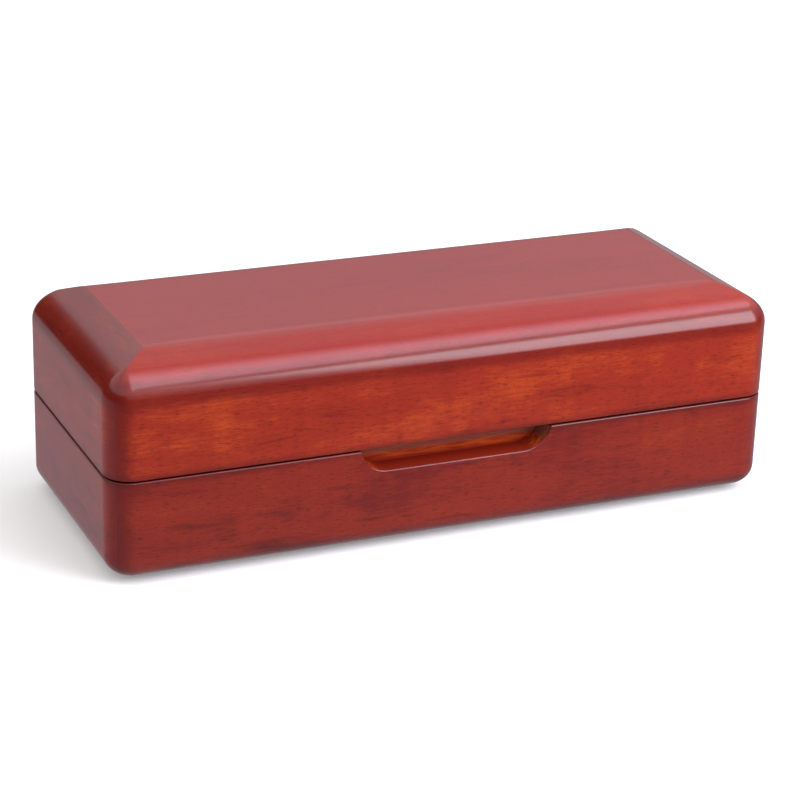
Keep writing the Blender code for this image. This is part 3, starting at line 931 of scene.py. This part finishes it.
def pad_blank(node, mounted_above):
    """A flat blank for a pad, its velvet divided evenly, enlarged for the cloth simulation."""
    low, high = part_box(node)
    size = high - low
    cells = [max(2, round(extent / PAD_CELL)) for extent in size[:2]] + [2]
    thickness = size.z - PAD_RISE
    foot = high.z - thickness if mounted_above else low.z
    bm = bmesh.new()
    verts = {}

    def vert(spot):
        if spot not in verts:
            share = [index / count for index, count in zip(spot, cells)]
            place = (low.x + size.x * share[0], low.y + size.y * share[1], foot + thickness * share[2])
            verts[spot] = bm.verts.new(place)
        return verts[spot]

    for axis in range(3):
        first, second = [other for other in range(3) if other != axis]
        for level in (0, cells[axis]):
            for i in range(cells[first]):
                for j in range(cells[second]):
                    corners = []
                    for step_i, step_j in ((0, 0), (1, 0), (1, 1), (0, 1)):
                        spot = [0, 0, 0]
                        spot[axis], spot[first], spot[second] = level, i + step_i, j + step_j
                        corners.append(vert(tuple(spot)))
                    bm.faces.new(corners)
    mesh = finish_mesh(bm, f"{node}_blank")
    mesh.transform(Matrix.Scale(PAD_ENLARGED, 4))
    blank = new_object(f"{node}_blank", mesh)
    glued = foot + thickness if mounted_above else foot
    held = [v.index for v in mesh.vertices if abs(v.co.z / PAD_ENLARGED - glued) < MERGE]
    blank.vertex_groups.new(name="pinned").add(held, 1.0, "REPLACE")
    return blank


def add_cloth(blank):
    """Cloth under a little inside pressure, held at the face that is glued down."""
    cloth = blank.modifiers.new("cloth", "CLOTH")
    settings = cloth.settings
    settings.quality = 6
    settings.mass = 0.3
    settings.tension_stiffness = settings.compression_stiffness = 12
    settings.shear_stiffness = 6
    settings.bending_stiffness = 0.6
    settings.shrink_min = -0.015
    settings.vertex_group_mass = "pinned"
    settings.use_pressure = True
    settings.uniform_pressure_force = 4.0
    settings.effector_weights.gravity = 0.0
    cloth.collision_settings.use_collision = False
    cloth.point_cache.frame_start = 1
    cloth.point_cache.frame_end = PAD_FRAMES


def settled(blank, low, high):
    """The blank's points after the simulation, each moved a little and kept in the CAD solid."""
    resting = [v.co.copy() for v in blank.data.vertices]
    shaped = blank.evaluated_get(bpy.context.evaluated_depsgraph_get())
    limit = PAD_RISE * PAD_ENLARGED * PAD_CAP
    places = []
    for rest, vert in zip(resting, shaped.data.vertices):
        move = vert.co - rest
        distance = move.length
        if distance > 0:
            move *= limit * math.tanh(distance / limit) / distance
        place = (rest + move) / PAD_ENLARGED
        places.append([max(low[axis], min(high[axis], place[axis])) for axis in range(3)])
    return places


def build_pads():
    """The two velvet pads, puffed up by a cloth simulation."""
    pads = {"base_floor_pad": ("base", False), "lid_pad": ("lid", True)}
    blanks = {node: pad_blank(node, mounted_above) for node, (_, mounted_above) in pads.items()}
    for blank in blanks.values():
        add_cloth(blank)
    for frame_number in range(1, PAD_FRAMES + 1):
        bpy.context.scene.frame_set(frame_number)
    for node, (body, _) in pads.items():
        blank = blanks[node]
        places = settled(blank, *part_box(node))
        bm = bmesh.new()
        bm.from_mesh(blank.data)
        for vert, place in zip(bm.verts, places):
            vert.co = place
        bmesh.ops.subdivide_edges(bm, edges=list(bm.edges), cuts=1, use_grid_fill=True)
        mesh = finish_mesh(bm, f"{node}_finished")
        bpy.data.objects.remove(blank)
        pad = add_piece(node, mesh, VELVET, body, PAD_SHARP_ABOVE)
    bpy.context.scene.frame_set(1)


# ---------------------------------------------------------------- camera, floor and light


def pointing(azimuth, elevation):
    """A unit vector from its azimuth, from +Y towards +X, and its elevation."""
    level = math.cos(elevation)
    return Vector((math.sin(azimuth) * level, math.cos(azimuth) * level, math.sin(elevation)))


def add_camera():
    """The camera: yaw, pitch and roll about the box, a long lens."""
    forward = pointing(CAMERA_YAW, -CAMERA_PITCH)
    level = pointing(CAMERA_YAW + math.pi / 2, 0.0)
    upright = level.cross(forward)
    right = level * math.cos(CAMERA_ROLL) + upright * math.sin(CAMERA_ROLL)
    up = upright * math.cos(CAMERA_ROLL) - level * math.sin(CAMERA_ROLL)
    data = bpy.data.cameras.new("camera")
    data.sensor_width = 36.0
    data.lens = CAMERA_LENS
    data.clip_start = 0.01
    camera = bpy.data.objects.new("camera", data)
    bpy.context.scene.collection.objects.link(camera)
    camera.rotation_euler = Matrix((right, up, -forward)).transposed().to_euler()
    aim = Vector((0, 0, HEIGHT / 2)) - right * CAMERA_ASIDE - up * CAMERA_ABOVE
    camera.location = aim - forward * CAMERA_DISTANCE
    bpy.context.scene.camera = camera


def add_area_light(name, place, turn, size, radiance):
    """A rectangular area light of a given radiance, hidden from the camera."""
    data = bpy.data.lights.new(name, "AREA")
    data.shape = "RECTANGLE"
    data.size, data.size_y = size
    data.energy = 4 * size[0] * size[1] * radiance
    data.color = COOL
    light = bpy.data.objects.new(name, data)
    bpy.context.scene.collection.objects.link(light)
    light.location = place
    light.rotation_euler = turn
    light.visible_camera = False
    return light


def emission_material(name, radiance, tint=COOL):
    """A plain glowing or black surface for what only the lacquer reflects."""
    material = bpy.data.materials.new(name)
    material.use_nodes = True
    tree = material.node_tree
    tree.nodes.remove(tree.nodes["Principled BSDF"])
    glow = tree.nodes.new("ShaderNodeEmission")
    glow.inputs["Color"].default_value = (*(radiance * channel for channel in tint), 1.0)
    tree.links.new(glow.outputs[0], tree.nodes["Material Output"].inputs[0])
    return material


def reflected_only(card):
    """Let only reflections see a card."""
    card.visible_camera = False
    card.visible_diffuse = False
    card.visible_shadow = False
    card.visible_transmission = False


def disc(name, height):
    """A wide level disc."""
    bm = bmesh.new()
    bmesh.ops.create_circle(bm, cap_ends=True, segments=96, radius=FLOOR_RADIUS)
    bmesh.ops.translate(bm, verts=bm.verts, vec=(0, 0, height))
    return new_object(name, finish_mesh(bm, name))


def add_floor():
    """A wide pale floor, faintly glowing, which the lacquer doesn't mirror."""
    floor = disc("floor", 0.0)
    material = bpy.data.materials.new("pale_floor")
    material.use_nodes = True
    shader = material.node_tree.nodes["Principled BSDF"]
    shader.inputs["Base Color"].default_value = (FLOOR_WHITE, FLOOR_WHITE, FLOOR_WHITE, 1.0)
    shader.inputs["Roughness"].default_value = 0.9
    shader.inputs["Specular IOR Level"].default_value = 0.0
    shader.inputs["Emission Color"].default_value = (1.0, 1.0, 1.0, 1.0)
    shader.inputs["Emission Strength"].default_value = FLOOR_GLOW
    floor.data.materials.append(material)
    floor.visible_glossy = False


def add_flag(name, first, last, top):
    """A dark upright card between two azimuths in degrees, seen only in the lacquer."""
    bm = bmesh.new()
    rows = []
    for step in range(FLAG_STEPS + 1):
        azimuth = math.radians(first + (last - first) * step / FLAG_STEPS)
        spot = pointing(azimuth, 0.0) * FLAG_RADIUS
        rows.append((bm.verts.new(spot), bm.verts.new(spot + Vector((0, 0, top)))))
    for (low, high), (next_low, next_high) in zip(rows, rows[1:]):
        bm.faces.new((low, next_low, next_high, high))
    flag = new_object(name, finish_mesh(bm, name))
    flag.data.materials.append(emission_material(name, FLAG_RADIANCE))
    reflected_only(flag)


def graded_emission(name, radiance, axis, span, stops, tint=COOL):
    """A glow whose strength follows stops between two places along an object axis."""
    material = emission_material(name, radiance, tint)
    tree = material.node_tree
    glow = next(node for node in tree.nodes if node.type == "EMISSION")
    place = tree.nodes.new("ShaderNodeTexCoord")
    split = tree.nodes.new("ShaderNodeSeparateXYZ")
    along = tree.nodes.new("ShaderNodeMapRange")
    along.inputs["From Min"].default_value, along.inputs["From Max"].default_value = span
    ramp = tree.nodes.new("ShaderNodeValToRGB")
    for element, (at, _) in zip(ramp.color_ramp.elements, (stops[0], stops[-1])):
        element.position = at
    for at, _ in stops[1:-1]:
        ramp.color_ramp.elements.new(at)
    for element, (_, level) in zip(ramp.color_ramp.elements, stops):
        element.color = (level, level, level, 1.0)
    tree.links.new(place.outputs["Object"], split.inputs[0])
    tree.links.new(split.outputs[axis], along.inputs[0])
    tree.links.new(along.outputs[0], ramp.inputs[0])
    tree.links.new(ramp.outputs[0], glow.inputs["Strength"])
    return material


def add_reflections():
    """What the lacquer mirrors: dim ground in front, a surround and the overhead light's shape."""
    ground = disc("reflected_ground", -0.5 * MM)
    glow = graded_emission("reflected_ground", GROUND_RADIANCE, 1, GROUND_SPAN, GROUND_STOPS)
    ground.data.materials.append(glow)
    reflected_only(ground)
    bm = bmesh.new()
    bmesh.ops.create_uvsphere(bm, u_segments=48, v_segments=32, radius=DOME_RADIUS)
    dome = new_object("reflected_dome", finish_mesh(bm, "reflected_dome"))
    glow = graded_emission("pale_dome", DOME_RADIANCE, 2, (0.0, DOME_RADIUS), DOME_STOPS)
    dome.data.materials.append(glow)
    reflected_only(dome)
    bm = bmesh.new()
    bm.faces.new([bm.verts.new(corner) for corner in CARD_CORNERS])
    card = new_object("reflected_overhead", finish_mesh(bm, "reflected_overhead"))
    glow = graded_emission("overhead_glow", CARD_RADIANCE, 1, CARD_SPAN, CARD_STOPS, VIOLET)
    card.data.materials.append(glow)
    reflected_only(card)


def add_world(radiance):
    """An even pale surround."""
    world = bpy.data.worlds.new("studio")
    bpy.context.scene.world = world
    world.use_nodes = True
    background = world.node_tree.nodes["Background"]
    background.inputs["Color"].default_value = (radiance, radiance, radiance, 1.0)


def light_scene():
    """The surround, a softbox overhead and one in front on the right."""
    add_world(SURROUND)
    turn = (0, 0, OVERHEAD_TURN)
    overhead = add_area_light("overhead_softbox", OVERHEAD_PLACE, turn, OVERHEAD_SIZE, OVERHEAD_RADIANCE)
    # The lacquer mirrors the reflected_overhead card instead
    overhead.visible_glossy = False
    out = pointing(SOFTBOX_AZIMUTH, SOFTBOX_ELEVATION)
    turn = out.to_track_quat("Z", "Y").to_euler()
    add_area_light("front_right_softbox", out * SOFTBOX_DISTANCE, turn, SOFTBOX_SIZE, SOFTBOX_RADIANCE)


build_walls()
build_boards()
build_hardware()
build_linings()
build_felt()
build_pads()
add_camera()
add_floor()
add_flag("left_flag", *LEFT_FLAG)
add_flag("front_flag", *FRONT_FLAG)
add_reflections()
light_scene()
bpy.context.scene.view_settings.view_transform = "Standard"
